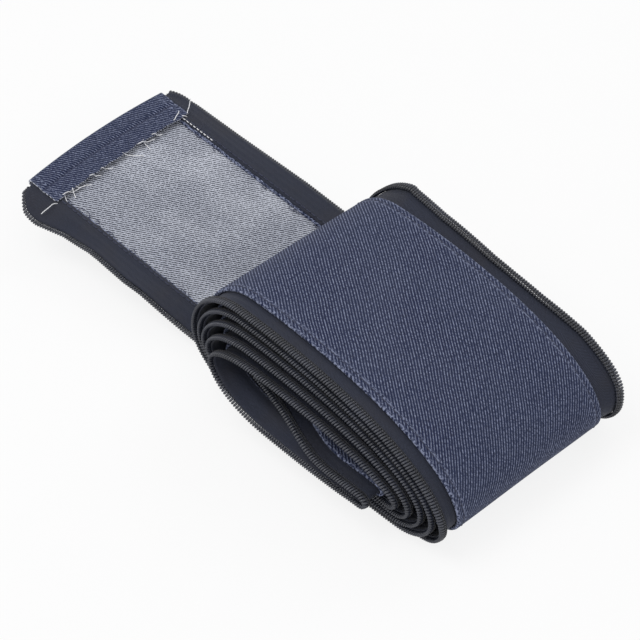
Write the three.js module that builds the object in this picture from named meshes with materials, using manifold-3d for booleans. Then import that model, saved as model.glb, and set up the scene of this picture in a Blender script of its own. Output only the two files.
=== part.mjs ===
// Zippered cable sleeve: one long denim strip with half a coil zip sewn along each long edge,
// opened out flat and rolled up, with its outer end lying beside the roll.
// Millimetres, +Z up. X runs along the strip, Y along the axis of the roll.

import * as THREE from 'three';
import { mergeVertices } from 'three/addons/utils/BufferGeometryUtils.js';
import Module from 'manifold-3d';

const wasm = await Module();
wasm.setup();

// Cloth and its turned edges
const panelWidth = 84;
const clothThickness = 0.8;
const turnUnder = 5.5;
const pressedGap = 0.12;
const foldRound = 0.5;

// Zip tape, sewn behind the turned edge
const tapeWidth = 12.5;
const tapeThickness = 0.5;
const seamOverlap = 4.5;
const sewnGap = 0.28;

// Nylon coil on the tape's free edge
const coilWidth = 4.4;
const coilThickness = 1.9;
const coilOverhang = 2.3;
const coilShoulder = 0.7;

// Hem across the outer end
const hemWidth = 16.5;
const hemSegments = 6;
const hemBite = 0.6;
const tuckLength = 14;
const tuckDepth = 5;

// Roll: one value for each turn, from the outermost inwards. The last turn has no left bend
const rollRight = [133, 128, 122.8, 117.5, 112, 103.5];
const rightHeight = [17, 17.6, 18.3, 19, 20, 18.73];
const rollTop = [57, 52.8, 48.4, 43.6, 38];
const crownAlong = [17, 20, 23, 27, 31];
const rollLeft = [-10, -5.8, -1.8, 2.6, 8.2];
const leftHeight = [31, 30.5, 30, 29.5, 29];
const floorLeft = [38, 39, 40, 41, 42, 43];
const floorRight = [111, 109, 106.5, 104, 100, 99];
const floorStep = 2.95;
const wholeTurns = 5;

// The loose inner end turns tightly and then slopes up through the roll's open middle
const looseBendTop = 21.73;
const looseEnd = { x: 26, z: 29.5 };

// Flap: the outer end, which curls up off the floor
const flapLength = 177;
const flapFlat = 26;
const flapBendRadius = 150;
const flapSlope = 10.3;

// The flap lies turned on the floor, so its hem leans along the strip by this much across it
const hemLean = 0.078;

// Sideways shift of the strip: -1 is the hem, 0 is under the roll, then one for each turn
const sideShifts = [
  [-1, 1.7],
  [-0.35, 11.8],
  [-0.15, 11],
  [0.1, 8],
  [0.2, 4],
  [0.3, -0.5],
  [0.45, 0],
  [0.8, -1],
  [1, -1.5],
  [1.45, -0.5],
  [1.8, -1.5],
  [2.2, -1.5],
  [2.45, -1.5],
  [2.8, -3],
  [3, -1],
  [3.2, -1],
  [3.3, -3.5],
  [3.8, -5],
  [4, -0.5],
  [4.2, -0.5],
  [4.3, -6],
  [4.8, -8],
  [5, -11.5],
  [5.2, -12.5],
  [5.3, -12],
  [5.42, -9],
  [5.6, -1],
];

// Tilt of the near tape out of the cloth's surface, in degrees, where it hangs over the turns below
const nearTilts = [
  [4.84, 0],
  [5, 28],
  [5.05, 28],
  [5.2, 0],
];

// Stations along each stretch of the roll
const stations = { floor: 2, looseFloor: 4, rise: 4, over: 8, back: 5, under: 5, flapArc: 3, flapRun: 5 };

// Places across the strip and through its thickness, measured from the cloth's inner face
const panelEdge = panelWidth / 2;
const foldDepth = clothThickness + pressedGap;
const tapeTop = -foldDepth - sewnGap;
const tapeBottom = tapeTop - tapeThickness;
const tapeInner = panelEdge - seamOverlap;
const tapeOuter = tapeInner + tapeWidth;
const tapeHinge = panelEdge + sewnGap;
const coilOuter = tapeOuter + coilOverhang;
const coilInner = coilOuter - coilWidth;
const coilBottom = tapeTop + sewnGap;
const coilTop = coilBottom + coilThickness;

const floorHeight = (turn) => coilTop + floorStep * turn;

// One elliptic quarter between a level point and an upright point, from angle a to angle b
function quarter(path, centre, radii, from, to, count, turnFrom, turnTo) {
  for (let i = 1; i <= count; i += 1) {
    const share = i / count;
    const angle = THREE.MathUtils.degToRad(from + (to - from) * share);
    path.push({
      x: centre.x + radii.x * Math.cos(angle),
      z: centre.z + radii.z * Math.sin(angle),
      turn: turnFrom + (turnTo - turnFrom) * share,
    });
  }
}

// The flap, from the hem's fold to where the strip lies flat under the roll
function flapPath() {
  const path = [];
  const slope = THREE.MathUtils.degToRad(flapSlope);
  const arcLength = flapBendRadius * slope;
  const runLength = flapLength - flapFlat - arcLength;
  const bendStart = floorLeft[0] - flapFlat;
  const arcEnd = {
    x: bendStart - flapBendRadius * Math.sin(slope),
    z: floorHeight(0) + flapBendRadius * (1 - Math.cos(slope)),
  };
  for (let i = 0; i < stations.flapRun; i += 1) {
    const left = runLength * (1 - i / stations.flapRun);
    path.push({
      x: arcEnd.x - left * Math.cos(slope),
      z: arcEnd.z + left * Math.sin(slope),
      turn: -(left + arcLength + flapFlat) / flapLength,
    });
  }
  for (let i = 0; i <= stations.flapArc; i += 1) {
    const angle = slope * (1 - i / stations.flapArc);
    path.push({
      x: bendStart - flapBendRadius * Math.sin(angle),
      z: floorHeight(0) + flapBendRadius * (1 - Math.cos(angle)),
      turn: -(flapBendRadius * angle + flapFlat) / flapLength,
    });
  }
  return path;
}

// The whole strip's middle line, seen along the roll's axis, from the hem inwards
function stripPath() {
  const path = flapPath();
  for (let turn = 0; turn <= wholeTurns; turn += 1) {
    const last = turn === wholeTurns;
    const next = turn + 1;
    const floor = floorHeight(turn);
    const floorStations = last ? stations.looseFloor : stations.floor;
    for (let i = 0; i <= floorStations; i += 1) {
      const share = i / floorStations;
      const x = THREE.MathUtils.lerp(floorLeft[turn], floorRight[turn], share);
      path.push({ x, z: floor, turn: turn + 0.2 * share });
    }
    const right = rollRight[turn];
    const rise = { x: right - floorRight[turn], z: rightHeight[turn] - floor };
    const riseCentre = { x: floorRight[turn], z: rightHeight[turn] };
    quarter(path, riseCentre, rise, -90, 0, stations.rise, turn + 0.2, turn + 0.3);
    if (last) {
      const curl = { x: rise.x, z: looseBendTop - rightHeight[turn] };
      quarter(path, riseCentre, curl, 0, 90, stations.rise, turn + 0.3, turn + 0.35);
      for (let i = 1; i <= stations.looseFloor; i += 1) {
        const share = i / stations.looseFloor;
        const x = THREE.MathUtils.lerp(floorRight[turn], looseEnd.x, share);
        const z = THREE.MathUtils.lerp(looseBendTop, looseEnd.z, share);
        path.push({ x, z, turn: turn + 0.35 + 0.25 * share });
      }
      break;
    }
    const crown = { x: crownAlong[turn], z: rightHeight[turn] };
    const over = { x: right - crown.x, z: rollTop[turn] - rightHeight[turn] };
    quarter(path, crown, over, 0, 90, stations.over, turn + 0.3, turn + 0.6);
    const backCentre = { x: crownAlong[turn], z: leftHeight[turn] };
    const back = { x: crownAlong[turn] - rollLeft[turn], z: rollTop[turn] - leftHeight[turn] };
    quarter(path, backCentre, back, 90, 180, stations.back, turn + 0.6, turn + 0.8);
    const underCentre = { x: floorLeft[next], z: leftHeight[turn] };
    const under = { x: floorLeft[next] - rollLeft[turn], z: leftHeight[turn] - floorHeight(next) };
    quarter(path, underCentre, under, 180, 270, stations.under, turn + 0.8, next);
    path.pop();
  }
  return path;
}

// The value at a turn from a list of [turn, value], held beyond its ends
function along(list, turn) {
  const after = list.findIndex(([place]) => place >= turn);
  if (after === 0) return list[0][1];
  if (after < 0) return list[list.length - 1][1];
  const [placeA, valueA] = list[after - 1];
  const [placeB, valueB] = list[after];
  return THREE.MathUtils.lerp(valueA, valueB, (turn - placeA) / (placeB - placeA));
}

// Stations with their outward direction, their sideways shift and the length from the hem's fold
function stripStations() {
  const path = stripPath();
  let length = 0;
  return path.map((point, i) => {
    const before = path[Math.max(i - 1, 0)];
    const after = path[Math.min(i + 1, path.length - 1)];
    if (i > 0) length += Math.hypot(point.x - before.x, point.z - before.z);
    const ahead = new THREE.Vector2(after.x - before.x, after.z - before.z).normalize();
    const lean = hemLean * Math.max(0, -point.turn);
    return {
      x: point.x,
      y: along(sideShifts, point.turn),
      z: point.z,
      nx: ahead.y,
      nz: -ahead.x,
      leanX: -ahead.x * lean,
      leanZ: -ahead.y * lean,
      nearTilt: THREE.MathUtils.degToRad(along(nearTilts, point.turn)),
      length,
    };
  });
}

// A closed solid swept through the stations; section(station) gives [across, through] points
function sweep(path, section) {
  const rings = path.map((station) => section(station));
  const size = rings[0].length;
  const positions = [];
  rings.forEach((ring, i) => {
    const at = path[i];
    for (const [across, through] of ring) {
      const x = at.x + at.nx * through + at.leanX * across;
      const z = at.z + at.nz * through + at.leanZ * across;
      positions.push(x, at.y + across, z);
    }
  });
  const index = [];
  for (let i = 0; i + 1 < rings.length; i += 1) {
    for (let j = 0; j < size; j += 1) {
      const a = i * size + j;
      const b = i * size + (j + 1) % size;
      index.push(a, a + size, b, b, a + size, b + size);
    }
  }
  const lastRing = (rings.length - 1) * size;
  const corners = (ring) => ring.map(([across, through]) => new THREE.Vector2(across, through));
  for (const [a, b, c] of THREE.ShapeUtils.triangulateShape(corners(rings[0]), [])) {
    index.push(a, b, c);
  }
  for (const [a, b, c] of THREE.ShapeUtils.triangulateShape(corners(rings[rings.length - 1]), [])) {
    index.push(lastRing + a, lastRing + c, lastRing + b);
  }
  const geometry = new THREE.BufferGeometry();
  geometry.setAttribute('position', new THREE.Float32BufferAttribute(positions, 3));
  geometry.setIndex(index);
  return geometry;
}

// The cloth across its width: both long edges turned under, with the raw edges inside
function panelSection() {
  const half = [
    [panelEdge - foldRound, clothThickness],
    [panelEdge, clothThickness - foldRound],
    [panelEdge, foldRound - foldDepth],
    [panelEdge - foldRound, -foldDepth],
    [panelEdge - turnUnder, -foldDepth],
    [panelEdge - turnUnder, -pressedGap],
    [panelEdge - clothThickness, -pressedGap],
    [panelEdge - clothThickness, 0],
  ];
  const otherHalf = half.map(([across, through]) => [-across, through]).reverse();
  return [...half, ...otherHalf].reverse();
}

// The tape and coil draw in towards the cloth where they run in under the hem
function tuckIn(length) {
  const share = Math.max(0, 1 - length / tuckLength);
  return tuckDepth * share * share;
}

// Puts a section on its side of the strip, turned out of the surface about the cloth's edge
function sided(points, side, station) {
  const tilt = side < 0 ? station.nearTilt : 0;
  const hinge = new THREE.Vector2(tapeHinge, (tapeTop + tapeBottom) / 2);
  const placed = points.map(([across, through]) => {
    const point = new THREE.Vector2(across, through);
    if (across >= tapeHinge) point.rotateAround(hinge, tilt);
    return [side * point.x, point.y];
  });
  return side > 0 ? placed : placed.reverse();
}

const tapeSection = (side) => (station) => sided([
  [tapeInner, tapeBottom],
  [tapeHinge, tapeBottom],
  [tapeOuter - tuckIn(station.length), tapeBottom],
  [tapeOuter - tuckIn(station.length), tapeTop],
  [tapeHinge, tapeTop],
  [tapeInner, tapeTop],
], side, station);

const coilSection = (side) => (station) => {
  const inner = coilInner - tuckIn(station.length);
  const outer = coilOuter - tuckIn(station.length);
  const middle = (coilBottom + coilTop) / 2;
  return sided([
    [inner, middle],
    [inner + coilShoulder, coilBottom],
    [outer - coilShoulder, coilBottom],
    [outer, middle],
    [outer - coilShoulder, coilTop],
    [inner + coilShoulder, coilTop],
  ], side, station);
};

// The hem: the strip's end turned once onto its inside, over the ends of the tapes
function hemStations(path) {
  const end = path[0];
  const next = path[1];
  const along = new THREE.Vector2(next.x - end.x, next.z - end.z).normalize();
  const hemTop = tapeBottom - sewnGap;
  const outerRadius = (clothThickness - hemTop + clothThickness) / 2;
  const middle = clothThickness - outerRadius;
  const result = [];
  const add = (back, through, normalTurn, y) => result.push({
    x: end.x + along.x * back + end.nx * through,
    z: end.z + along.y * back + end.nz * through,
    nx: end.nx * Math.cos(normalTurn) - along.x * Math.sin(normalTurn),
    nz: end.nz * Math.cos(normalTurn) - along.y * Math.sin(normalTurn),
    leanX: end.leanX,
    leanZ: end.leanZ,
    y,
  });
  const radius = outerRadius - clothThickness;
  const slant = (next.y - end.y) / Math.hypot(next.x - end.x, next.z - end.z);
  add(hemBite, middle + radius, 0, end.y);
  for (let i = 0; i <= hemSegments; i += 1) {
    const angle = Math.PI * i / hemSegments;
    add(-radius * Math.sin(angle), middle + radius * Math.cos(angle), angle, end.y);
  }
  add(hemWidth, middle - radius, Math.PI, end.y + slant * hemWidth);
  return result.reverse();
}

const hemSection = () => [
  [-panelEdge + foldRound, 0],
  [panelEdge - foldRound, 0],
  [panelEdge - foldRound, clothThickness],
  [-panelEdge + foldRound, clothThickness],
];

function toSolid(geometry) {
  const welded = mergeVertices(geometry, 1e-4);
  return new wasm.Manifold(new wasm.Mesh({
    numProp: 3,
    vertProperties: new Float32Array(welded.attributes.position.array),
    triVerts: new Uint32Array(welded.index.array),
  }));
}

function fromSolid(solid) {
  const mesh = solid.getMesh();
  const geometry = new THREE.BufferGeometry();
  geometry.setAttribute('position', new THREE.Float32BufferAttribute(mesh.vertProperties, 3));
  geometry.setIndex(Array.from(mesh.triVerts));
  return geometry;
}

function denimPanel(path) {
  const strip = toSolid(sweep(path, panelSection));
  const hem = toSolid(sweep(hemStations(path), hemSection));
  return fromSolid(strip.add(hem));
}

const denim = new THREE.MeshStandardMaterial({ color: 0x3a4263, roughness: 0.9, metalness: 0 });
const wovenTape = new THREE.MeshStandardMaterial({ color: 0x26272d, roughness: 0.85, metalness: 0 });
const blackNylon = new THREE.MeshStandardMaterial({ color: 0x2c2d34, roughness: 0.45, metalness: 0 });

const path = stripStations();
const group = new THREE.Group();

function addPiece(name, geometry, material) {
  const mesh = new THREE.Mesh(geometry, material);
  mesh.name = name;
  group.add(mesh);
}

addPiece('denim_panel', denimPanel(path), denim);
for (const [side, name] of [[-1, 'near'], [1, 'far']]) {
  addPiece(`${name}_zipper_tape`, sweep(path, tapeSection(side)), wovenTape);
  addPiece(`${name}_zipper_coil`, sweep(path, coilSection(side)), blackNylon);
}

// The origin is the middle of the footprint, on the floor
const bounds = new THREE.Box3().setFromObject(group);
const middle = bounds.getCenter(new THREE.Vector3());
group.position.set(-middle.x, -middle.y, -bounds.min.z);

export default group;
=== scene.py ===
"""Zippered cable sleeve, rolled up: its cloth, zip tapes, coils and threads around the CAD frame.

Every piece is made flat first, in the strip's own millimetres: x along the strip from the
fold of its hem, y across it from its middle line, z through it from the cloth's inner face.
roll_up() then carries it to its place in the roll.
"""
import math

import bpy
import numpy as np
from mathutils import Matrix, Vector


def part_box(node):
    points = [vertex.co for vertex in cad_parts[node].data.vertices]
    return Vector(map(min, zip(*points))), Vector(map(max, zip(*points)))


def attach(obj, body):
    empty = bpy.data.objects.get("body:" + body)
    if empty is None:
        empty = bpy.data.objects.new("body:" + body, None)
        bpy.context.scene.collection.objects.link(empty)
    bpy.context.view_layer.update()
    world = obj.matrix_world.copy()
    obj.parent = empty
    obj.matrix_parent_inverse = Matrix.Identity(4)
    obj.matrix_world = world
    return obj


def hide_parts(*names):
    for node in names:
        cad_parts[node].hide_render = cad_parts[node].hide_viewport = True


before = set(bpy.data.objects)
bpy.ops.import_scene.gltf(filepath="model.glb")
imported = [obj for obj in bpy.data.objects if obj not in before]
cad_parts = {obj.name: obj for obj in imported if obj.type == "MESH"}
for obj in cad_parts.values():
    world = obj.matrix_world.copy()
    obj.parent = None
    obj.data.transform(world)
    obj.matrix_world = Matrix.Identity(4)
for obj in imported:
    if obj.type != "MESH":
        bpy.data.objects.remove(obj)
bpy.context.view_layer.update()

bl_info = {
    "name": "Zippered cable sleeve",
    "version": (1, 0, 0),
    "blender": (4, 5, 0),
    "location": "View3D > Sidebar > Cable Sleeve",
    "description": "Makes the cloth, zip tapes, coils and threads of a rolled-up cable sleeve",
    "category": "Add Mesh",
}

MM = 0.001
SIDES = {"near": -1, "far": 1}

# Cloth, tape and coil, in millimetres across the strip and through it
CLOTH_THICKNESS = 0.8
PRESSED_GAP = 0.12
TURN_UNDER = 5.5
TAPE_THICKNESS = 0.5
SEAM_OVERLAP = 4.5
SEWN_GAP = 0.28
TAPE_WIDTH = 12.5
COIL_WIDTH = 4.4
COIL_THICKNESS = 1.9
COIL_OVERHANG = 2.3
HEM_WIDTH = 16.5
HEM_OUTER_RADIUS = 1.79
TUCK_LENGTH = 14
TUCK_DEPTH = 5

TAPE_TOP = -(CLOTH_THICKNESS + PRESSED_GAP) - SEWN_GAP
COIL_BOTTOM = TAPE_TOP + SEWN_GAP
COIL_TOP = COIL_BOTTOM + COIL_THICKNESS

# Roll: one value for each turn, from the outermost inwards. The last turn has no left bend
ROLL_RIGHT = (133, 128, 122.8, 117.5, 112, 103.5)
RIGHT_HEIGHT = (17, 17.6, 18.3, 19, 20, 18.73)
ROLL_TOP = (57, 52.8, 48.4, 43.6, 38)
CROWN_ALONG = (17, 20, 23, 27, 31)
ROLL_LEFT = (-10, -5.8, -1.8, 2.6, 8.2)
LEFT_HEIGHT = (31, 30.5, 30, 29.5, 29)
FLOOR_LEFT = (38, 39, 40, 41, 42, 43)
FLOOR_RIGHT = (111, 109, 106.5, 104, 100, 99)
FLOOR_STEP = 2.95
WHOLE_TURNS = 5

# Share of a turn that is done at the end of its floor, right bend, crown and left bend
FLOOR_DONE = 0.2
RIGHT_DONE = 0.3
CROWN_DONE = 0.6
LEFT_DONE = 0.8

# Points on the straights, on each quarter, on the flap and on its bend, and their even spacing
STRAIGHT_POINTS = 160
QUARTER_POINTS = 240
FLAP_POINTS = 200
BEND_POINTS = 60
EVEN_STEP = 0.5
SHIFT_SMOOTHING = 24
SLOPE_SMOOTHING = 10

# The loose inner end turns tightly and then slopes up through the roll's open middle
LOOSE_BEND_TOP = 21.73
LOOSE_BEND_DONE = 0.35
LOOSE_END = (26, 29.5)

# Flap: the outer end, which curls up off the floor and lies turned on it
FLAP_LENGTH = 177
FLAP_FLAT = 26
FLAP_BEND_RADIUS = 150
FLAP_SLOPE = math.radians(10.3)
HEM_LEAN = 0.078

# Sideways shift of the strip: -1 is the hem, 0 is under the roll, then one for each turn
SIDE_SHIFTS = ((-1, 1.7), (-0.35, 11.8), (-0.15, 11), (0.1, 8), (0.2, 4), (0.3, -0.5), (0.45, 0),
               (0.8, -1), (1, -1.5), (1.45, -0.5), (1.8, -1.5), (2.2, -1.5), (2.45, -1.5),
               (2.8, -3), (3, -1), (3.2, -1), (3.3, -3.5), (3.8, -5), (4, -0.5), (4.2, -0.5),
               (4.3, -6), (4.8, -8), (5, -11.5), (5.2, -12.5), (5.3, -12), (5.37, -13.5), (5.45, -12),
               (5.52, -6), (5.6, -1))

# Ruffles of the flap's tapes and of the far tape, in degrees, by length from the hem or by turn
FLAP_NEAR_TILTS = ((0, 4), (14, 22), (30, 24), (52, -4), (80, -12), (105, 3), (135, -2), (177, 0))
FLAP_FAR_TILTS = ((0, -10), (10, 8), (40, 4), (80, -6), (130, -2), (177, 0))
FAR_TILTS = ((0.2, 0), (0.28, 8), (0.36, 14), (0.42, 4), (0.5, 0), (0.56, 14), (0.62, 14), (0.7, 0))

# How far the near edge of the flap draws out and in, in millimetres, by length from the hem
FLAP_NEAR_FLARES = ((0, 0), (8, 3), (16, 3), (30, -0.5), (46, -1.5), (70, 0.5), (120, 0), (150, 1.5),
                    (177, 0))

# Between these distances from the strip's middle line the tape takes up that drawing
DRAWN_ZONE = (42, 47)

# The same for the far edge of the outermost turn, by turn
FAR_FLARES = ((0.22, 0), (0.3, 2), (0.34, 3.4), (0.42, 3), (0.47, 0), (0.52, -1.2), (0.57, 0),
              (0.61, 2.8), (0.66, 2), (0.74, 0))

# The loose end's sag in the open middle: depth in millimetres, turn and spread in turns
LOOSE_SAG = (3, 5.44, 0.05)

# The hem's outer edge bows out in its middle, and the bow fades along the flap
HEM_BOW = 2.2
HEM_BOW_FADE = 40

# Tilt of the near tape out of the cloth's surface, in degrees, where it hangs over the turns below
NEAR_TILTS = ((4.84, 0), (5, 28), (5.05, 28), (5.2, 0))

# Where the panel's columns of points lie across half its flat face, closest at the seam
PANEL_COLUMNS = (0, 5, 10, 15, 20, 25, 29, 32, 34.5, 36.5, 37.8, 38.6, 39, 39.4, 40.2)

# The hem's row of stitches: its distance from the fold, and how deep it draws the cloth in
HEM_STITCHED_AT = 7.6
HEM_GROOVE = 0.65
HEM_COLUMNS = 85

# Weaves, in millimetres and degrees
TWILL_LEAN = 34
TWILL_DRIFT = 1.2
YARN_PITCH = 0.72
TAPE_COLUMN = 1.6
WORN_ROW = 38.2

# Tints that wear and washing leave, as linear colours
FADED_INDIGO = (0.05, 0.062, 0.105)
RUBBED_INDIGO = (0.22, 0.24, 0.31)
BROWNED_BLACK = (0.036, 0.031, 0.029)

# One loop of the coil is wound round a core of this radius before it is flattened
COIL_CORE = 1.0
COIL_STEPS = 10
THREAD_SIDES = 5

# A stitch's thread, step by step: share of its length, rise in thicknesses, and swelling
STITCH_RISE = ((0.16, 0.5, 1.25), (0.34, 0.12, 1.05), (0.34, -0.12, 0.95), (0.16, -0.5, 0.8))

# Loose white weft ends: where each starts and ends across the hem, and how far it strays inwards
WEFT_ENDS = ((-37, -27, 1.5), (-29, -22, 3), (-20, -15, 2), (-13, -8, 2.5), (1, 8, 6), (10, 19, 2),
             (14, 13, 5), (19, 24, 2), (33, 39, -3), (-36, -38, 4), (38, 44, 2), (-47, -39, 1),
             (-31, -33, 4), (41, 50, -6))
FRAYED_ENDS = 26

# Loose threads, in metres
WEFT_THICKNESS = 0.0004
FRAY_THICKNESS = 0.0003

# Stage, in metres: the floor lies just below the coils, and most of its white is its own
FLOOR_SIZE = 6
FLOOR_DROP = 0.0002
FLOOR_WHITE = 0.84
SKY_LIGHT = 0.62
LAMPS = (("key", (-0.5, -0.55, 1.3), 0.9, 9.0),
         ("fill", (1.1, -0.4, 0.9), 1.1, 4.0),
         ("back", (-0.1, 1.2, 0.9), 1.0, 4.0))

# Camera, fitted to the photograph: millimetres of film, degrees, metres, and millimetres of aim
CAMERA_SENSOR = 36
CAMERA_LENS = 135.1
CAMERA_AZIMUTH = 46.29
CAMERA_ELEVATION = 43.0
CAMERA_DISTANCE = 1.045
CAMERA_AIM = 11.1


# The path that the strip is rolled on

def floor_height(turn):
    """Height of the strip's middle line where this turn lies flat."""
    return COIL_TOP + FLOOR_STEP * turn


def strip_route():
    """Points (x, z, turn) along the strip's middle line, from the hem's fold inwards."""
    route = []

    def straight(a, b, turn_a, turn_b, count):
        for share in np.linspace(0, 1, count, endpoint=False):
            route.append((a[0] + (b[0] - a[0]) * share, a[1] + (b[1] - a[1]) * share,
                          turn_a + (turn_b - turn_a) * share))

    def quarter(centre, radii, start, end, turn_a, turn_b):
        for share in np.linspace(0, 1, QUARTER_POINTS, endpoint=False):
            angle = math.radians(start + (end - start) * share)
            route.append((centre[0] + radii[0] * math.cos(angle),
                          centre[1] + radii[1] * math.sin(angle),
                          turn_a + (turn_b - turn_a) * share))

    bend_start = FLOOR_LEFT[0] - FLAP_FLAT
    arc = FLAP_BEND_RADIUS * FLAP_SLOPE
    run = FLAP_LENGTH - FLAP_FLAT - arc
    arc_end = (bend_start - FLAP_BEND_RADIUS * math.sin(FLAP_SLOPE),
               floor_height(0) + FLAP_BEND_RADIUS * (1 - math.cos(FLAP_SLOPE)))
    hem = (arc_end[0] - run * math.cos(FLAP_SLOPE), arc_end[1] + run * math.sin(FLAP_SLOPE))
    arc_turn = -(arc + FLAP_FLAT) / FLAP_LENGTH
    flat_turn = -FLAP_FLAT / FLAP_LENGTH
    straight(hem, arc_end, -1, arc_turn, FLAP_POINTS)
    for share in np.linspace(0, 1, BEND_POINTS, endpoint=False):
        angle = FLAP_SLOPE * (1 - share)
        route.append((bend_start - FLAP_BEND_RADIUS * math.sin(angle),
                      floor_height(0) + FLAP_BEND_RADIUS * (1 - math.cos(angle)),
                      arc_turn + (flat_turn - arc_turn) * share))
    straight((bend_start, floor_height(0)), (FLOOR_LEFT[0], floor_height(0)), flat_turn, 0,
             BEND_POINTS)
    for turn in range(WHOLE_TURNS + 1):
        floor = floor_height(turn)
        right, right_z = ROLL_RIGHT[turn], RIGHT_HEIGHT[turn]
        run_end = FLOOR_RIGHT[turn]
        straight((FLOOR_LEFT[turn], floor), (run_end, floor), turn, turn + FLOOR_DONE,
                 STRAIGHT_POINTS)
        quarter((run_end, right_z), (right - run_end, right_z - floor), -90, 0,
                turn + FLOOR_DONE, turn + RIGHT_DONE)
        if turn == WHOLE_TURNS:
            quarter((run_end, right_z), (right - run_end, LOOSE_BEND_TOP - right_z), 0, 90,
                    turn + RIGHT_DONE, turn + LOOSE_BEND_DONE)
            straight((run_end, LOOSE_BEND_TOP), LOOSE_END, turn + LOOSE_BEND_DONE,
                     turn + CROWN_DONE, STRAIGHT_POINTS)
            route.append((*LOOSE_END, turn + CROWN_DONE))
            break
        crown, top = CROWN_ALONG[turn], ROLL_TOP[turn]
        left, left_z = ROLL_LEFT[turn], LEFT_HEIGHT[turn]
        quarter((crown, right_z), (right - crown, top - right_z), 0, 90,
                turn + RIGHT_DONE, turn + CROWN_DONE)
        quarter((crown, left_z), (crown - left, top - left_z), 90, 180,
                turn + CROWN_DONE, turn + LEFT_DONE)
        next_x, next_z = FLOOR_LEFT[turn + 1], floor_height(turn + 1)
        quarter((next_x, left_z), (next_x - left, left_z - next_z), 180, 270,
                turn + LEFT_DONE, turn + 1)
    return np.array(route)


class RolledStrip:
    """Where the flat strip's points lie once it is rolled up, in the row frame."""

    def __init__(self):
        route = strip_route()
        steps = np.hypot(np.diff(route[:, 0]), np.diff(route[:, 1]))
        along = np.concatenate([[0], np.cumsum(steps)])
        self.length = float(along[-1])
        self.s = np.linspace(0, self.length, int(self.length / EVEN_STEP) + 1)
        self.x = np.interp(self.s, along, route[:, 0])
        self.z = np.interp(self.s, along, route[:, 1])
        self.turn = np.interp(self.s, along, route[:, 2])
        shift = np.interp(self.turn, *np.array(SIDE_SHIFTS).T)
        self.shift = smoothed(shift, SHIFT_SMOOTHING)
        tangent = np.stack([np.gradient(self.x, self.s), np.gradient(self.z, self.s)], 1)
        tangent = np.stack([smoothed(part, SLOPE_SMOOTHING) for part in tangent.T], 1)
        self.tangent = tangent / np.linalg.norm(tangent, axis=1)[:, None]
        edge = panel_half() - SEAM_OVERLAP + TAPE_WIDTH + COIL_OVERHANG
        low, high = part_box("near_zipper_coil")
        self.offset = (high.x / MM - ROLL_RIGHT[0] - COIL_TOP,
                       low.y / MM + edge - min(y for _, y in SIDE_SHIFTS))

    def carry(self, flat):
        """Row-frame metres for an array of flat points in millimetres."""
        s, across, through = flat[:, 0], flat[:, 1].copy(), flat[:, 2].copy()
        at = np.clip(s, 0, self.length)
        beyond = s - at
        tx, tz = np.interp(at, self.s, self.tangent[:, 0]), np.interp(at, self.s, self.tangent[:, 1])
        turn = np.interp(at, self.s, self.turn)
        flare = np.where(across < 0, np.interp(at, *np.array(FLAP_NEAR_FLARES).T),
                         np.interp(turn, *np.array(FAR_FLARES).T))
        drawn = tuck_in(at) - flare
        bow = HEM_BOW * np.clip(1 - (across / panel_half()) ** 2, 0, 1)
        bow = bow * np.clip(1 - at / HEM_BOW_FADE, 0, 1)
        across = across - np.sign(across) * drawn * smooth_step(*DRAWN_ZONE, np.abs(across))
        across, through = tilted_edge(at, across, through, turn)
        lean = HEM_LEAN * np.maximum(0, -turn)
        along = beyond - lean * across - bow
        x = np.interp(at, self.s, self.x) + tx * along + tz * through
        y = np.interp(at, self.s, self.shift) + across
        depth, middle, spread = LOOSE_SAG
        sag = depth * np.exp(-((turn - middle) / spread) ** 2)
        z = np.interp(at, self.s, self.z) + tz * along - tx * through - sag
        return np.stack([x + self.offset[0], y + self.offset[1], z], 1) * MM


def smoothed(values, reach):
    """A running average, with the ends held."""
    window = np.ones(2 * reach + 1) / (2 * reach + 1)
    return np.convolve(np.pad(values, reach, mode="edge"), window, mode="valid")


def smooth_step(low, high, values):
    """0 below the low value and 1 above the high one, with a soft rise between."""
    share = np.clip((values - low) / (high - low), 0, 1)
    return share * share * (3 - 2 * share)


def tuck_in(s):
    """How far the tapes draw in towards the cloth where they run in under the hem."""
    return TUCK_DEPTH * np.maximum(0, 1 - s / TUCK_LENGTH) ** 2


def slow_wave(s, seed, period):
    """A gentle uneven wave along the strip, from -1 to 1."""
    phase = np.random.RandomState(seed).uniform(0, 2 * math.pi, 4)
    total = sum(np.sin(2 * math.pi * s / (period * f) + p)
                for f, p in zip((1, 0.61, 1.73, 0.37), phase))
    return total / 3


def tilted_edge(s, across, through, turn):
    """The zipped edges turned out of the cloth's surface about the cloth's edge, as they ruffle."""
    hinge = panel_half() + SEWN_GAP
    hinge_depth = TAPE_TOP - TAPE_THICKNESS / 2
    near = np.interp(turn, *np.array(NEAR_TILTS).T)
    flap = np.clip(-turn * 6, 0, 1)
    near = near + flap * np.interp(s, *np.array(FLAP_NEAR_TILTS).T)
    far = np.interp(turn, *np.array(FAR_TILTS).T) + flap * np.interp(s, *np.array(FLAP_FAR_TILTS).T)
    tilt = np.radians(np.where(across < 0, near, far))
    reach = np.abs(across) - hinge
    share = smooth_step(-1.0, 2.0, reach)
    depth = through - hinge_depth
    cos, sin = np.cos(tilt * share), np.sin(tilt * share)
    over = reach > 0
    turned_across = np.where(over, hinge + reach * cos - depth * sin, np.abs(across))
    turned_through = np.where(over, hinge_depth + reach * sin + depth * cos, through)
    return np.sign(across) * turned_across, turned_through


# Settings

def sleeve_settings():
    """The sizes that the panel in the sidebar shows."""
    return bpy.context.scene.cable_sleeve


def colour_of(value):
    """Linear colour for an sRGB triple from 0 to 255."""
    return tuple((c / 255 / 12.92) if c <= 10 else ((c / 255 + 0.055) / 1.055) ** 2.4 for c in value)


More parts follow.
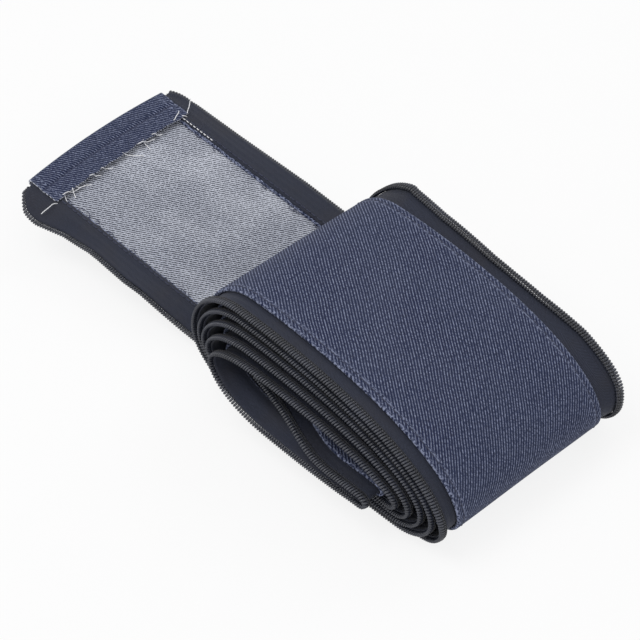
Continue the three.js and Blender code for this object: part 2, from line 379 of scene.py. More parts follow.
class SleeveSettings(bpy.types.PropertyGroup):
    panel_width: bpy.props.FloatProperty(
        name="Panel width", description="Width of the denim between its turned edges",
        default=0.084, unit="LENGTH")
    coil_pitch: bpy.props.FloatProperty(
        name="Coil pitch", description="Length of zip that one tooth takes",
        default=0.00127, unit="LENGTH")
    filament: bpy.props.FloatProperty(
        name="Coil filament", description="Thickness of the coil's filament along the zip",
        default=0.00112, unit="LENGTH")
    seam_inset: bpy.props.FloatProperty(
        name="Seam inset", description="Distance of the seam's stitching from the panel's edge",
        default=0.003, unit="LENGTH")
    stitch_length: bpy.props.FloatProperty(
        name="Stitch length", description="Length of one stitch of the seams",
        default=0.0026, unit="LENGTH")
    stitch_gap: bpy.props.FloatProperty(
        name="Stitch gap", description="Gap between two stitches of the seams",
        default=0.0006, unit="LENGTH")
    thread: bpy.props.FloatProperty(
        name="Thread", description="Thickness of the sewing thread",
        default=0.00042, unit="LENGTH")


class FinishSettings(bpy.types.PropertyGroup):
    indigo: bpy.props.FloatVectorProperty(
        name="Indigo", description="Colour of the denim's outer face",
        default=colour_of((28, 36, 64)), subtype="COLOR")
    warp_fleck: bpy.props.FloatVectorProperty(
        name="Fleck", description="Colour of the pale weft that shows through the outer face",
        default=colour_of((158, 166, 194)), subtype="COLOR")
    pale_face: bpy.props.FloatVectorProperty(
        name="Inside face", description="Colour of the denim's inside face",
        default=colour_of((206, 210, 222)), subtype="COLOR")
    inside_line: bpy.props.FloatVectorProperty(
        name="Inside lines", description="Colour of the indigo that shows on the inside face",
        default=colour_of((26, 30, 46)), subtype="COLOR")
    black_tape: bpy.props.FloatVectorProperty(
        name="Tape", description="Colour of the woven zip tape",
        default=colour_of((42, 46, 60)), subtype="COLOR")
    black_nylon: bpy.props.FloatVectorProperty(
        name="Coil", description="Colour of the nylon coil",
        default=colour_of((42, 45, 56)), subtype="COLOR")
    twill_period: bpy.props.FloatProperty(
        name="Twill period", description="Distance between two twill lines",
        default=0.0012, unit="LENGTH")


# Materials

class Nodes:
    """Short calls for one material's node tree."""

    def __init__(self, name):
        self.material = bpy.data.materials.new(name)
        self.material.use_nodes = True
        self.tree = self.material.node_tree
        self.tree.nodes.clear()
        self.shader = self.tree.nodes.new("ShaderNodeBsdfPrincipled")
        output = self.tree.nodes.new("ShaderNodeOutputMaterial")
        self.tree.links.new(self.shader.outputs["BSDF"], output.inputs["Surface"])

    def node(self, kind, **inputs):
        made = self.tree.nodes.new(kind)
        for key, value in inputs.items():
            if hasattr(value, "is_output"):
                self.tree.links.new(value, made.inputs[key])
            else:
                made.inputs[key].default_value = value
        return made

    def maths(self, operation, a, b=0.0):
        made = self.tree.nodes.new("ShaderNodeMath")
        made.operation = operation
        for socket, value in zip(made.inputs, (a, b)):
            if hasattr(value, "is_output"):
                self.tree.links.new(value, socket)
            else:
                socket.default_value = value
        return made.outputs[0]

    def strip_place(self):
        """(along, across) sockets in millimetres, from the piece's own UV map."""
        uv = self.tree.nodes.new("ShaderNodeUVMap")
        uv.uv_map = "strip"
        parts = self.node("ShaderNodeSeparateXYZ", Vector=uv.outputs["UV"])
        return (self.maths("MULTIPLY", parts.outputs["X"], 1000.0),
                self.maths("MULTIPLY", parts.outputs["Y"], 1000.0))

    def wave(self, value, period):
        """0 to 1, a cosine of a length with this period."""
        angle = self.maths("MULTIPLY", value, 2 * math.pi / period)
        return self.remap(self.maths("COSINE", angle), -1, 1, 0, 1)

    def remap(self, value, a, b, c, d):
        made = self.node("ShaderNodeMapRange", Value=value)
        for key, number in zip(("From Min", "From Max", "To Min", "To Max"), (a, b, c, d)):
            made.inputs[key].default_value = number
        return made.outputs["Result"]

    def noise(self, x, y, scale, stretch=(1.0, 1.0), detail=2.0, seed=0.0):
        place = self.node("ShaderNodeCombineXYZ", X=self.maths("MULTIPLY", x, stretch[0]),
                          Y=self.maths("MULTIPLY", y, stretch[1]), Z=seed)
        return self.node("ShaderNodeTexNoise", Vector=place.outputs[0], Scale=scale,
                         Detail=detail).outputs["Fac"]

    def mix(self, share, a, b):
        made = self.tree.nodes.new("ShaderNodeMix")
        made.data_type = "RGBA"
        for index, value in ((0, share), (6, a), (7, b)):
            socket = made.inputs[index]
            if hasattr(value, "is_output"):
                self.tree.links.new(value, socket)
            else:
                socket.default_value = (*value, 1) if hasattr(value, "__len__") else value
        return made.outputs[2]

    def bump(self, height, strength, distance):
        made = self.node("ShaderNodeBump", Height=height, Strength=strength, Distance=distance)
        self.tree.links.new(made.outputs["Normal"], self.shader.inputs["Normal"])

    def finish(self, colour, **values):
        if hasattr(colour, "is_output"):
            self.tree.links.new(colour, self.shader.inputs["Base Color"])
        else:
            self.shader.inputs["Base Color"].default_value = (*colour, 1)
        for key, value in values.items():
            socket = self.shader.inputs[key.replace("_", " ")]
            if hasattr(value, "is_output"):
                self.tree.links.new(value, socket)
            else:
                socket.default_value = value
        return self.material


def twill(nodes):
    """The diagonal ribs of the twill, 0 to 1, and the place along and across a rib."""
    along, across = nodes.strip_place()
    period = bpy.context.scene.cable_finish.twill_period / MM
    angle = math.radians(TWILL_LEAN)
    drift = nodes.noise(along, across, 0.05, detail=2.0, seed=4.0)
    rib_across = nodes.maths("ADD", nodes.maths("MULTIPLY", along, -math.sin(angle)),
                             nodes.maths("MULTIPLY", across, math.cos(angle)))
    rib_across = nodes.maths("ADD", rib_across, nodes.maths("MULTIPLY", drift, TWILL_DRIFT))
    rib_along = nodes.maths("ADD", nodes.maths("MULTIPLY", along, math.cos(angle)),
                            nodes.maths("MULTIPLY", across, math.sin(angle)))
    rib = nodes.wave(rib_across, period)
    yarn = nodes.wave(rib_along, YARN_PITCH)
    return along, across, rib, yarn


def indigo_face():
    """Outer face: indigo warp ribs with pale flecks of weft in the valleys."""
    finish = bpy.context.scene.cable_finish
    nodes = Nodes("indigo_twill")
    along, across, rib, yarn = twill(nodes)
    slub = nodes.noise(along, across, 1.0, stretch=(0.5, 2.6), detail=2.0, seed=1.0)
    speck = nodes.noise(along, across, 1.0, stretch=(0.9, 1.5), detail=1.0, seed=9.0)
    cloud = nodes.noise(along, across, 0.03, detail=3.0, seed=2.0)
    valley = nodes.remap(rib, 0.5, 0.1, 0, 1)
    fleck = nodes.maths("MULTIPLY", valley, nodes.remap(speck, 0.36, 0.74, 0.1, 0.8))
    beside = nodes.maths("ABSOLUTE", across)
    edge = nodes.remap(beside, 40.4, 41.6, 0, 0.85)
    from_row = nodes.maths("ABSOLUTE", nodes.maths("SUBTRACT", beside, WORN_ROW))
    worn = nodes.maths("MAXIMUM", edge, nodes.remap(from_row, 0.9, 0.2, 0, 0.5))
    worn = nodes.maths("MULTIPLY", worn, nodes.remap(speck, 0.46, 0.6, 0, 1))
    fleck = nodes.maths("MAXIMUM", fleck, worn)
    base = nodes.mix(nodes.remap(slub, 0.3, 0.7, 0, 1), [c * 0.72 for c in finish.indigo],
                     [min(1, c * 1.38) for c in finish.indigo])
    base = nodes.mix(nodes.remap(cloud, 0.35, 0.65, 0, 0.16), base, FADED_INDIGO)
    colour = nodes.mix(fleck, base, finish.warp_fleck)
    height = nodes.maths("ADD", rib, nodes.maths("MULTIPLY", yarn, 0.4))
    nodes.bump(height, 0.75, 0.00022)
    return nodes.finish(colour, Roughness=0.92, Sheen_Weight=0.06, Sheen_Roughness=0.5,
                        Specular_IOR_Level=0.2)


def pale_face():
    """Inside face: pale weft with fine indigo lines."""
    finish = bpy.context.scene.cable_finish
    nodes = Nodes("pale_twill")
    along, across, rib, yarn = twill(nodes)
    slub = nodes.noise(along, across, 1.0, stretch=(2.2, 0.5), detail=2.0, seed=3.0)
    speck = nodes.noise(along, across, 1.0, stretch=(1.4, 1.0), detail=1.0, seed=5.0)
    cloud = nodes.noise(along, across, 0.035, detail=3.0, seed=12.0)
    line = nodes.maths("MULTIPLY", nodes.remap(rib, 0.46, 0.62, 0, 1),
                       nodes.remap(speck, 0.38, 0.5, 0.25, 1))
    line = nodes.maths("MULTIPLY", line, nodes.remap(cloud, 0.35, 0.6, 0.85, 1))
    base = nodes.mix(nodes.remap(slub, 0.3, 0.7, 0, 1), [c * 0.74 for c in finish.pale_face],
                     [min(1, c * 1.15) for c in finish.pale_face])
    base = nodes.mix(nodes.remap(cloud, 0.42, 0.62, 0, 0.35), base, RUBBED_INDIGO)
    colour = nodes.mix(line, base, finish.inside_line)
    height = nodes.maths("SUBTRACT", nodes.maths("MULTIPLY", yarn, 0.4), rib)
    nodes.bump(height, 0.7, 0.0002)
    return nodes.finish(colour, Roughness=0.95, Sheen_Weight=0.1, Sheen_Roughness=0.5,
                        Specular_IOR_Level=0.15)


def woven_tape():
    """Zip tape: fine herringbone columns along the tape."""
    finish = bpy.context.scene.cable_finish
    nodes = Nodes("woven_tape")
    along, across = nodes.strip_place()
    column = nodes.maths("PINGPONG", across, TAPE_COLUMN)
    slant = nodes.maths("ADD", along, column)
    rib = nodes.wave(slant, YARN_PITCH)
    fuzz = nodes.noise(along, across, 2.2, detail=2.0, seed=6.0)
    wear = nodes.noise(along, across, 0.06, detail=2.0, seed=7.0)
    low = [c * 0.55 for c in finish.black_tape]
    high = [min(1, c * 1.7) for c in finish.black_tape]
    shade = nodes.maths("MULTIPLY", rib, nodes.remap(fuzz, 0.3, 0.7, 0.5, 1))
    colour = nodes.mix(shade, low, high)
    colour = nodes.mix(nodes.remap(wear, 0.45, 0.7, 0, 0.22), colour, BROWNED_BLACK)
    nodes.bump(rib, 0.6, 0.00015)
    return nodes.finish(colour, Roughness=0.8, Sheen_Weight=0.12, Sheen_Roughness=0.4,
                        Specular_IOR_Level=0.3)


def moulded_coil():
    """Coil: drawn black nylon, duller where it has been handled."""
    finish = bpy.context.scene.cable_finish
    nodes = Nodes("black_nylon")
    place = nodes.tree.nodes.new("ShaderNodeTexCoord").outputs["Object"]
    grain = nodes.node("ShaderNodeTexNoise", Vector=place, Scale=900.0, Detail=2.0).outputs["Fac"]
    patch = nodes.node("ShaderNodeTexNoise", Vector=place, Scale=60.0, Detail=2.0).outputs["Fac"]
    colour = nodes.mix(nodes.remap(patch, 0.3, 0.7, 0, 1), [c * 0.7 for c in finish.black_nylon],
                       [min(1, c * 1.35) for c in finish.black_nylon])
    nodes.bump(grain, 0.2, 0.00005)
    return nodes.finish(colour, Roughness=nodes.remap(grain, 0.3, 0.7, 0.30, 0.5),
                        Specular_IOR_Level=0.7)


def spun_thread(name, colour, roughness):
    """Sewing or weft thread: twisted yarn with a little fuzz."""
    nodes = Nodes(name)
    place = nodes.tree.nodes.new("ShaderNodeTexCoord").outputs["Object"]
    fuzz = nodes.node("ShaderNodeTexNoise", Vector=place, Scale=1800.0, Detail=2.0).outputs["Fac"]
    shade = nodes.mix(fuzz, [c * 0.8 for c in colour], [min(1, c * 1.2) for c in colour])
    nodes.bump(fuzz, 0.4, 0.00008)
    return nodes.finish(shade, Roughness=roughness, Sheen_Weight=0.2)


# Flat pieces

def flat_sheet(name, columns, stations, material, folded):
    """An open sheet: columns are (across, through, cloth across) and stations lie along the strip."""
    columns = np.array(columns, float)
    s = np.array(stations, float)
    count_s, count_c = len(s), len(columns)
    points = np.empty((count_s, count_c, 3))
    points[:, :, 0] = s[:, None]
    points[:, :, 1] = columns[None, :, 0]
    points[:, :, 2] = columns[None, :, 1]
    folded(points)
    index = np.arange(count_s * count_c).reshape(count_s, count_c)
    corners = (index[:-1, :-1], index[1:, :-1], index[1:, 1:], index[:-1, 1:])
    faces = np.stack(corners, -1).reshape(-1, 4)
    mesh = bpy.data.meshes.new(name)
    mesh.from_pydata(points.reshape(-1, 3).tolist(), [], faces.tolist())
    uv = mesh.uv_layers.new(name="strip")
    corner = faces.reshape(-1)
    flat_uv = np.stack([np.repeat(s, count_c), np.tile(columns[:, 2], count_s)], 1)[corner] * MM
    uv.data.foreach_set("uv", flat_uv.reshape(-1).astype(np.float32))
    mesh.polygons.foreach_set("use_smooth", [True] * len(faces))
    mesh.materials.append(material)
    piece = bpy.data.objects.new(name, mesh)
    bpy.context.collection.objects.link(piece)
    return piece


def only(piece):
    """Selects this piece alone and makes it the active one."""
    bpy.ops.object.select_all(action="DESELECT")
    piece.select_set(True)
    bpy.context.view_layer.objects.active = piece


def thickened(piece, thickness, inner_material=None):
    """Gives a sheet its thickness; the second material is for its other face."""
    only(piece)
    wall = piece.modifiers.new("wall", "SOLIDIFY")
    wall.thickness = thickness
    wall.offset = 0
    wall.use_even_offset = False
    if inner_material is not None:
        piece.data.materials.append(inner_material)
        wall.material_offset = 1
    bpy.ops.object.modifier_apply(modifier=wall.name)


def mesh_points(piece):
    """The piece's points, one row each."""
    points = np.empty(len(piece.data.vertices) * 3, np.float32)
    piece.data.vertices.foreach_get("co", points)
    return points.reshape(-1, 3).astype(float)


def roll_up(piece):
    """Carries a flat piece, in strip millimetres, to its place in the roll."""
    strip = RolledStrip()
    placed = strip.carry(mesh_points(piece))
    piece.data.vertices.foreach_set("co", placed.astype(np.float32).reshape(-1))
    piece.data.update()
    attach(piece, "root")
    return piece


def panel_half():
    """Half the width of the denim between its turned edges, in millimetres."""
    return sleeve_settings().panel_width / MM / 2


def run_stations(step, start=0.0):
    """Even lengths along the strip, from this start to the strip's inner end."""
    end = RolledStrip().length
    return np.linspace(start, end, int((end - start) / step) + 1)


# Operators

class SLEEVE_OT_cloth(bpy.types.Operator):
    """Make the denim panel with its turned edges"""
    bl_idname = "sleeve.cloth"
    bl_label = "Denim panel"

    def execute(self, context):
        edge = panel_half()
        middle = CLOTH_THICKNESS / 2
        radius = (CLOTH_THICKNESS + PRESSED_GAP) / 2
        centre = middle - radius
        half = [(across, middle, across) for across in PANEL_COLUMNS]
        straight_to = edge - radius - CLOTH_THICKNESS / 2
        half.append((straight_to, middle, straight_to))
        bend = [(straight_to + radius * math.sin(a), centre + radius * math.cos(a))
                for a in np.linspace(0, math.pi, 6)[1:]]
        laid = straight_to
        last = (straight_to, middle)
        for point in bend:
            laid += math.dist(point, last)
            last = point
            half.append((*point, laid))
        for back in (1.6, 3.2, TURN_UNDER - radius - CLOTH_THICKNESS / 2):
            half.append((straight_to - back, centre - radius, laid + back))
        columns = [(-a, t, -u) for a, t, u in half[:0:-1]] + half
        on_face = np.array([through == middle for _, through, _ in columns])[None, :]

        def pressed(points):
            s = points[:, :, 0]
            across = points[:, :, 1]
            inset = edge - sleeve_settings().seam_inset / MM
            groove = np.exp(-((np.abs(across) - inset) / 0.5) ** 2)
            pucker = 0.5 + 0.5 * np.cos(2 * math.pi * s / 3.2)
            sag = np.cos(np.clip(np.abs(across) / 36, 0, 1) * math.pi / 2) ** 2
            wave = 0.22 * slow_wave(s, 21, 47) * sag
            beside = np.exp(-((np.abs(across) - inset + 2.2) / 1.6) ** 2)
            tug = 0.10 * slow_wave(s, 31, 9) * beside
            points[:, :, 2] += on_face * (-0.14 * groove * (0.6 + 0.4 * pucker) + wave + tug)

        panel = flat_sheet("denim_cloth", columns, run_stations(1.75), indigo_face(), pressed)
        thickened(panel, CLOTH_THICKNESS, pale_face())
        roll_up(panel)
        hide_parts("denim_panel")
        length = (RolledStrip().length + HEM_WIDTH + 5) * MM
        return {"FINISHED"}


class SLEEVE_OT_hem(bpy.types.Operator):
    """Make the hem that closes the outer end"""
    bl_idname = "sleeve.hem"
    bl_label = "End hem"

    def execute(self, context):
        edge = panel_half() - 0.4
        radius = HEM_OUTER_RADIUS - CLOTH_THICKNESS / 2
        centre = CLOTH_THICKNESS - HEM_OUTER_RADIUS
        profile = [(1.4, centre + radius)]
        profile += [(-radius * math.sin(a), centre + radius * math.cos(a))
                    for a in np.linspace(0, math.pi, 12)]
        profile += [(back, centre - radius) for back in np.linspace(0.8, HEM_WIDTH, 32)]
        steps = [math.dist(a, b) for a, b in zip(profile, profile[1:])]
        lengths = np.concatenate([[0], np.cumsum(steps)])
        across = np.linspace(-edge, edge, HEM_COLUMNS)
        columns = [(a, 0, a) for a in across]
        random = np.random.RandomState(5)
        ragged = np.convolve(random.uniform(-0.5, 0.5, HEM_COLUMNS + 2), np.ones(3) / 3, mode="valid")

        def turned(points):
            for row, (back, through) in enumerate(profile):
                points[row, :, 0] = back
                points[row, :, 2] = through
                share = row / (len(profile) - 1)
                points[row, :, 0] += ragged * smooth_step(0.55, 1, share) * 1.2
                flatness = smooth_step(0.35, 0.6, share)
                stitched = math.exp(-((back - HEM_STITCHED_AT) / 0.9) ** 2) * flatness
                swell = -0.35 * math.sin(math.pi * np.clip(back / HEM_STITCHED_AT, 0, 1)) * flatness
                points[row, :, 2] += HEM_GROOVE * stitched
                points[row, :, 2] += swell * (0.7 + 0.3 * slow_wave(across, 12, 17))
                lifted = 0.5 + 0.5 * slow_wave(across, 14, 11)
                points[row, :, 2] -= 0.2 * smooth_step(9, 16, back) * lifted

        hem = flat_sheet("end_hem", columns, lengths - lengths[-1], pale_face(), turned)
        thickened(hem, CLOTH_THICKNESS, indigo_face())
        roll_up(hem)
        return {"FINISHED"}


class SLEEVE_OT_tapes(bpy.types.Operator):
    """Make the two woven zip tapes"""
    bl_idname = "sleeve.tapes"
    bl_label = "Zip tapes"

    def execute(self, context):
        inner = panel_half() - SEAM_OVERLAP
        outer = inner + TAPE_WIDTH
        middle = TAPE_TOP - TAPE_THICKNESS / 2
        material = woven_tape()
        for name, side in SIDES.items():
            across = np.linspace(inner, outer, 12)
            columns = [(side * a, middle, side * a) for a in across][::side]

            def pressed(points):
                s = points[:, :, 0]
                into = np.abs(points[:, :, 1]) - inner
                border = smooth_step(0.8, 0, into)
                points[:, :, 1] += side * border * 0.25 * slow_wave(s, 40 + side, 13)
                points[:, :, 2] += 0.06 * slow_wave(s, 50 + side, 23) * smooth_step(5, 9, into)
                points[:, :, 2] += (SEWN_GAP - 0.02) * smooth_step(6.5, 9.4, into)

            tape = flat_sheet(f"{name}_tape_weave", columns, run_stations(1.9, 1.0), material, pressed)
            thickened(tape, TAPE_THICKNESS)
            roll_up(tape)
            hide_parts(f"{name}_zipper_tape")
            RolledStrip().length * MM
        return {"FINISHED"}


def arrayed(piece, count, pitch, merge=False, direction=(1, 0, 0)):
    """Copies a small piece along the strip, or in another direction, as one mesh."""
    only(piece)
    row = piece.modifiers.new("row", "ARRAY")
    row.count = count
    row.use_relative_offset = False
    row.use_constant_offset = True
    row.constant_offset_displace = [pitch * part for part in direction]
    row.use_merge_vertices = merge
    row.merge_threshold = 0.02
    bpy.ops.object.modifier_apply(modifier=row.name)


def coil_loop(name, centre, middle, side):
    """One turn of the coil: a filament ring wound once round the coil's core, then flattened."""
    settings = sleeve_settings()
    pitch = settings.coil_pitch / MM
    bpy.ops.object.select_all(action="DESELECT")
    filament = settings.filament / MM / 2
    bpy.ops.mesh.primitive_circle_add(vertices=THREAD_SIDES, radius=filament, location=(0, 0, 0),
                                      rotation=(0, 0, 0))
    loop = bpy.context.active_object
    loop.name = name
    bpy.ops.object.mode_set(mode="EDIT")
    bpy.ops.mesh.select_all(action="SELECT")
    bpy.ops.transform.translate(value=(0, COIL_CORE, 0))
    bpy.ops.object.mode_set(mode="OBJECT")
    wind = loop.modifiers.new("wind", "SCREW")
    wind.axis = "X"
    wind.angle = 2 * math.pi
    wind.steps = wind.render_steps = COIL_STEPS
    wind.screw_offset = pitch
    wind.use_merge_vertices = False
    bpy.ops.object.modifier_apply(modifier=wind.name)
    reach = COIL_CORE + filament
    bpy.ops.object.mode_set(mode="EDIT")
    bpy.ops.mesh.select_all(action="SELECT")
    bpy.ops.transform.resize(value=(1, COIL_WIDTH / 2 / reach, COIL_THICKNESS / 2 / reach),
                             center_override=(0, 0, 0))
    bpy.ops.transform.translate(value=(0, side * centre, middle))
    bpy.ops.object.mode_set(mode="OBJECT")
    return loop


def stitch(name, length, thickness, place, material):
    """One stitch: a short thread that dives into the cloth at both ends."""
    bpy.ops.object.select_all(action="DESELECT")
    bpy.ops.mesh.primitive_circle_add(vertices=THREAD_SIDES, radius=thickness / 2, fill_type="NGON",
                                      rotation=(0, math.pi / 2, 0))
    piece = bpy.context.active_object
    piece.name = name
    bpy.ops.object.transform_apply(location=True, rotation=True, scale=True)
    bpy.ops.object.mode_set(mode="EDIT")
    bpy.ops.mesh.select_all(action="SELECT")
    bpy.ops.transform.translate(value=(-length / 2, 0, -thickness * 0.5))
    for step, lift, swell in STITCH_RISE:
        bpy.ops.mesh.extrude_region_move(
            TRANSFORM_OT_translate={"value": (length * step, 0, thickness * lift)})
        bpy.ops.transform.resize(value=(1, swell, swell))
    bpy.ops.mesh.select_all(action="SELECT")
    bpy.ops.mesh.normals_make_consistent(inside=False)
    bpy.ops.transform.translate(value=place)
    bpy.ops.object.mode_set(mode="OBJECT")
    piece.data.materials.append(material)
    bpy.ops.object.shade_smooth()
    return piece


class SLEEVE_OT_coils(bpy.types.Operator):
    """Make the two nylon coils, tooth by tooth"""
    bl_idname = "sleeve.coils"
    bl_label = "Zip coils"

    def execute(self, context):
        pitch = sleeve_settings().coil_pitch / MM
        count = int((RolledStrip().length - 2) / pitch)
        outer = panel_half() - SEAM_OVERLAP + TAPE_WIDTH + COIL_OVERHANG
        centre = outer - COIL_WIDTH / 2
        middle = (COIL_BOTTOM + COIL_TOP) / 2
        material = moulded_coil()
        for name, side in SIDES.items():
            coil = coil_loop(f"{name}_coil_teeth", centre, middle, side)
            arrayed(coil, count, pitch, merge=True)
            only(coil)
            bpy.ops.object.mode_set(mode="EDIT")
            bpy.ops.mesh.select_all(action="DESELECT")
            bpy.ops.mesh.select_non_manifold(extend=False)
            bpy.ops.mesh.edge_face_add()
            bpy.ops.mesh.select_all(action="SELECT")
            bpy.ops.mesh.normals_make_consistent(inside=False)
            bpy.ops.object.mode_set(mode="OBJECT")
            bpy.ops.object.shade_smooth()
            coil.data.materials.append(material)
            roll_up(coil)
            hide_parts(f"{name}_zipper_coil")
        return {"FINISHED"}


class SLEEVE_OT_stitching(bpy.types.Operator):
    """Make the coils' sewing rows and the edge seams"""
    bl_idname = "sleeve.stitching"
    bl_label = "Stitching"

    def execute(self, context):
        settings = sleeve_settings()
        pitch = settings.coil_pitch / MM
        thread = settings.thread / MM
        length = RolledStrip().length
        inner = panel_half() - SEAM_OVERLAP
        outer = inner + TAPE_WIDTH + COIL_OVERHANG
        heel = outer - COIL_WIDTH
        black = spun_thread("black_thread", (0.012, 0.012, 0.015), 0.9)
        navy = spun_thread("navy_thread", (0.022, 0.028, 0.065), 0.75)
        seam = settings.stitch_length / MM + settings.stitch_gap / MM
        for name, side in SIDES.items():
            for row, across, sunk in (("inner", heel + 0.75, 0.34), ("outer", heel + 1.75, 0.14)):
                piece = stitch(f"{name}_coil_sewing_{row}", pitch * 0.98, thread * 0.8,
                               (0, side * across, COIL_TOP - sunk), black)
                arrayed(piece, int((length - 4) / pitch), pitch)
                roll_up(piece)
            place = panel_half() - settings.seam_inset / MM
            piece = stitch(f"{name}_seam_top", settings.stitch_length / MM, thread,
                           (2, side * place, CLOTH_THICKNESS - 0.08), navy)
            arrayed(piece, int((length - 6) / seam), seam)
            roll_up(piece)
            piece = stitch(f"{name}_seam_under", settings.stitch_length / MM, thread,
                           (3, side * place, TAPE_TOP - TAPE_THICKNESS - thread * 0.5), navy)
            arrayed(piece, int((length - 6) / seam), seam)
            roll_up(piece)
        return {"FINISHED"}


def loose_thread(name, points, thickness, material):
    """A thread through row-frame points, as a bevelled curve made a mesh."""
    curve = bpy.data.curves.new(name, "CURVE")
    curve.dimensions = "3D"
    curve.bevel_depth = thickness / 2
    curve.bevel_resolution = 1
    curve.resolution_u = 4
    spline = curve.splines.new("NURBS")
    spline.points.add(len(points) - 1)
    for point, place in zip(spline.points, points):
        point.co = (*place, 1)
    spline.order_u = min(4, len(points))
    spline.use_endpoint_u = True
    piece = bpy.data.objects.new(name, curve)
    bpy.context.collection.objects.link(piece)
    only(piece)
    bpy.ops.object.convert(target="MESH")
    piece = bpy.context.active_object
    piece.data.materials.append(material)
    bpy.ops.object.shade_smooth()
    return piece


class SLEEVE_OT_threads(bpy.types.Operator):
    """Make the hem's row of stitches, its loose weft ends and the frayed ends along the tapes"""
    bl_idname = "sleeve.threads"
    bl_label = "Loose threads"

    def execute(self, context):
        strip = RolledStrip()
        random = np.random.RandomState(11)
        white = spun_thread("white_weft", colour_of((244, 245, 252)), 0.85)
        navy = spun_thread("frayed_navy", colour_of((40, 46, 78)), 0.85)
        face = CLOTH_THICKNESS - 2 * HEM_OUTER_RADIUS
        edge_line = panel_half() - SEAM_OVERLAP + 0.6
        hem_row = stitch("hem_row", 2.4, 0.36, (0, 0, face + 0.62), navy)
        only(hem_row)
        bpy.ops.object.mode_set(mode="EDIT")
        bpy.ops.mesh.select_all(action="SELECT")
        bpy.ops.transform.rotate(value=math.pi / 2, orient_axis="Z", center_override=(0, 0, 0))
        bpy.ops.transform.translate(value=(HEM_STITCHED_AT, -39, 0))
        bpy.ops.object.mode_set(mode="OBJECT")
        arrayed(hem_row, 27, 2.95, direction=(0, 1, 0))
        roll_up(hem_row)
        loose_row = stitch("loose_seam_ends", 1.3, 0.42,
                           (HEM_WIDTH + 1, edge_line, TAPE_TOP - TAPE_THICKNESS - 0.2), white)
        arrayed(loose_row, 9, 2.1)
        roll_up(loose_row)
        made = []
        for number, (start, end, drift) in enumerate(WEFT_ENDS):
            shares = np.linspace(0, 1, 7)
            across = start + (end - start) * shares
            back = HEM_WIDTH - 0.4 + drift * shares + random.uniform(-0.35, 0.35, 7)
            through = np.full(7, face - 0.25) - 0.5 * np.sin(math.pi * shares)
            through = np.where(back > HEM_WIDTH + 0.3, np.maximum(through, -1.4), through)
            route = strip.carry(np.stack([back, across, through], 1))
            made.append(loose_thread(f"weft_{number}", route, WEFT_THICKNESS, white))
        for number in range(FRAYED_ENDS):
            side = -1 if number % 2 else 1
            s = random.uniform(HEM_WIDTH + 2, 168)
            turns = random.uniform(0.4, 1.4)
            shares = np.linspace(0, 1, 9)
            size = random.uniform(0.8, 2.6)
            angle = 2 * math.pi * turns * shares + random.uniform(0, 6)
            edge = panel_half() - SEAM_OVERLAP - 0.2
            back = s + size * np.cos(angle) + 3 * shares * random.uniform(-1, 1)
            across = side * (edge - 1.2 * size * (1 + np.sin(angle)) / 2)
            through = np.full(9, -0.35) - random.uniform(0, 0.7, 9)
            route = strip.carry(np.stack([back, across, through], 1))
            made.append(loose_thread(f"fray_{number}", route, FRAY_THICKNESS, navy))
        for piece in made:
            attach(piece, "root")
        return {"FINISHED"}


def seen_directly(tree):
    """1 for the rays that see the stage itself, and 0 for those that only light the sleeve."""
    rays = tree.nodes.new("ShaderNodeLightPath")
    seen = rays.outputs["Is Camera Ray"]
    for kind in ("Is Glossy Ray", "Is Transmission Ray"):
        either = tree.nodes.new("ShaderNodeMath")
        either.operation = "MAXIMUM"
        tree.links.new(seen, either.inputs[0])
        tree.links.new(rays.outputs[kind], either.inputs[1])
        seen = either.outputs[0]
    return seen


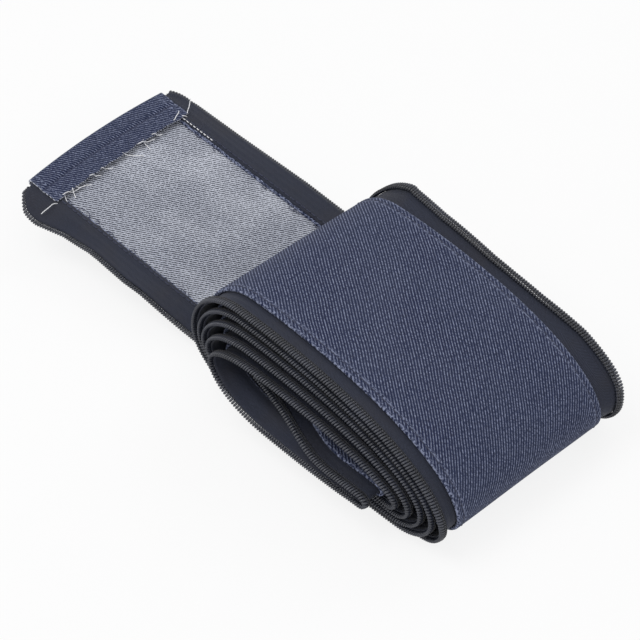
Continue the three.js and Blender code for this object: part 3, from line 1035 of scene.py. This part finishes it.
class SLEEVE_OT_stage(bpy.types.Operator):
    """Make the floor, the lights and the camera"""
    bl_idname = "sleeve.stage"
    bl_label = "Stage"

    def execute(self, context):
        bpy.ops.mesh.primitive_plane_add(size=FLOOR_SIZE, location=(0, 0, -FLOOR_DROP))
        floor = context.active_object
        floor.name = "floor"
        nodes = Nodes("floor_paper")
        tree = nodes.tree
        place = tree.nodes.new("ShaderNodeTexCoord").outputs["Object"]
        grain = nodes.node("ShaderNodeTexNoise", Vector=place, Scale=40.0, Detail=3.0).outputs["Fac"]
        nodes.finish(nodes.mix(grain, (0.86, 0.86, 0.87), (0.90, 0.90, 0.90)), Roughness=0.95)
        white = nodes.node("ShaderNodeEmission", Color=(1, 1, 1, 1), Strength=1.0)
        mixed = tree.nodes.new("ShaderNodeMixShader")
        tree.links.new(nodes.maths("MULTIPLY", seen_directly(tree), FLOOR_WHITE), mixed.inputs[0])
        tree.links.new(nodes.shader.outputs[0], mixed.inputs[1])
        tree.links.new(white.outputs[0], mixed.inputs[2])
        output = next(n for n in tree.nodes if n.type == "OUTPUT_MATERIAL")
        tree.links.new(mixed.outputs[0], output.inputs["Surface"])
        floor.data.materials.append(nodes.material)

        world = bpy.data.worlds.new("soft_white")
        context.scene.world = world
        world.use_nodes = True
        tree = world.node_tree
        tree.nodes.clear()
        strength = tree.nodes.new("ShaderNodeMapRange")
        strength.inputs["To Min"].default_value = SKY_LIGHT
        strength.inputs["To Max"].default_value = 1.0
        tree.links.new(seen_directly(tree), strength.inputs["Value"])
        shade = tree.nodes.new("ShaderNodeBackground")
        tree.links.new(strength.outputs[0], shade.inputs["Strength"])
        output = tree.nodes.new("ShaderNodeOutputWorld")
        tree.links.new(shade.outputs[0], output.inputs["Surface"])

        for name, place, size, power in LAMPS:
            light = bpy.data.lights.new(name, "AREA")
            light.size = size
            light.energy = power
            lamp = bpy.data.objects.new(name, light)
            lamp.location = place
            lamp.rotation_euler = (-Vector(place)).to_track_quat("-Z", "Y").to_euler()
            context.collection.objects.link(lamp)

        strip = RolledStrip()
        data = bpy.data.cameras.new("camera")
        data.sensor_width = CAMERA_SENSOR
        data.lens = CAMERA_LENS
        camera = bpy.data.objects.new("camera", data)
        context.collection.objects.link(camera)
        target = Vector((strip.offset[0], strip.offset[1] + CAMERA_AIM, 0)) * MM
        azimuth, elevation = math.radians(CAMERA_AZIMUTH), math.radians(CAMERA_ELEVATION)
        back = Vector((math.sin(azimuth) * math.cos(elevation),
                       -math.cos(azimuth) * math.cos(elevation), math.sin(elevation)))
        camera.location = target + back * CAMERA_DISTANCE
        camera.rotation_euler = (-back).to_track_quat("-Z", "Y").to_euler()
        data.clip_start, data.clip_end = 0.05, 20
        context.scene.camera = camera
        context.scene.view_settings.view_transform = "Standard"
        return {"FINISHED"}


class SLEEVE_PT_panel(bpy.types.Panel):
    """The sleeve's pieces and settings"""
    bl_label = "Cable Sleeve"
    bl_idname = "SLEEVE_PT_panel"
    bl_space_type = "VIEW_3D"
    bl_region_type = "UI"
    bl_category = "Cable Sleeve"

    def draw(self, context):
        for group in (context.scene.cable_sleeve, context.scene.cable_finish):
            for name in group.bl_rna.properties.keys():
                if name not in ("rna_type", "name"):
                    self.layout.prop(group, name)
        for step in STEPS:
            self.layout.operator(step.bl_idname)


STEPS = (SLEEVE_OT_cloth, SLEEVE_OT_hem, SLEEVE_OT_tapes, SLEEVE_OT_coils, SLEEVE_OT_stitching,
         SLEEVE_OT_threads, SLEEVE_OT_stage)
CLASSES = (SleeveSettings, FinishSettings, *STEPS, SLEEVE_PT_panel)


def register():
    for each in CLASSES:
        bpy.utils.register_class(each)
    bpy.types.Scene.cable_sleeve = bpy.props.PointerProperty(type=SleeveSettings)
    bpy.types.Scene.cable_finish = bpy.props.PointerProperty(type=FinishSettings)


def unregister():
    del bpy.types.Scene.cable_finish
    del bpy.types.Scene.cable_sleeve
    for each in reversed(CLASSES):
        bpy.utils.unregister_class(each)


def main():
    register()
    bpy.ops.sleeve.cloth()
    bpy.ops.sleeve.hem()
    bpy.ops.sleeve.tapes()
    bpy.ops.sleeve.coils()
    bpy.ops.sleeve.stitching()
    bpy.ops.sleeve.threads()
    bpy.ops.sleeve.stage()


if __name__ == "__main__":
    main()
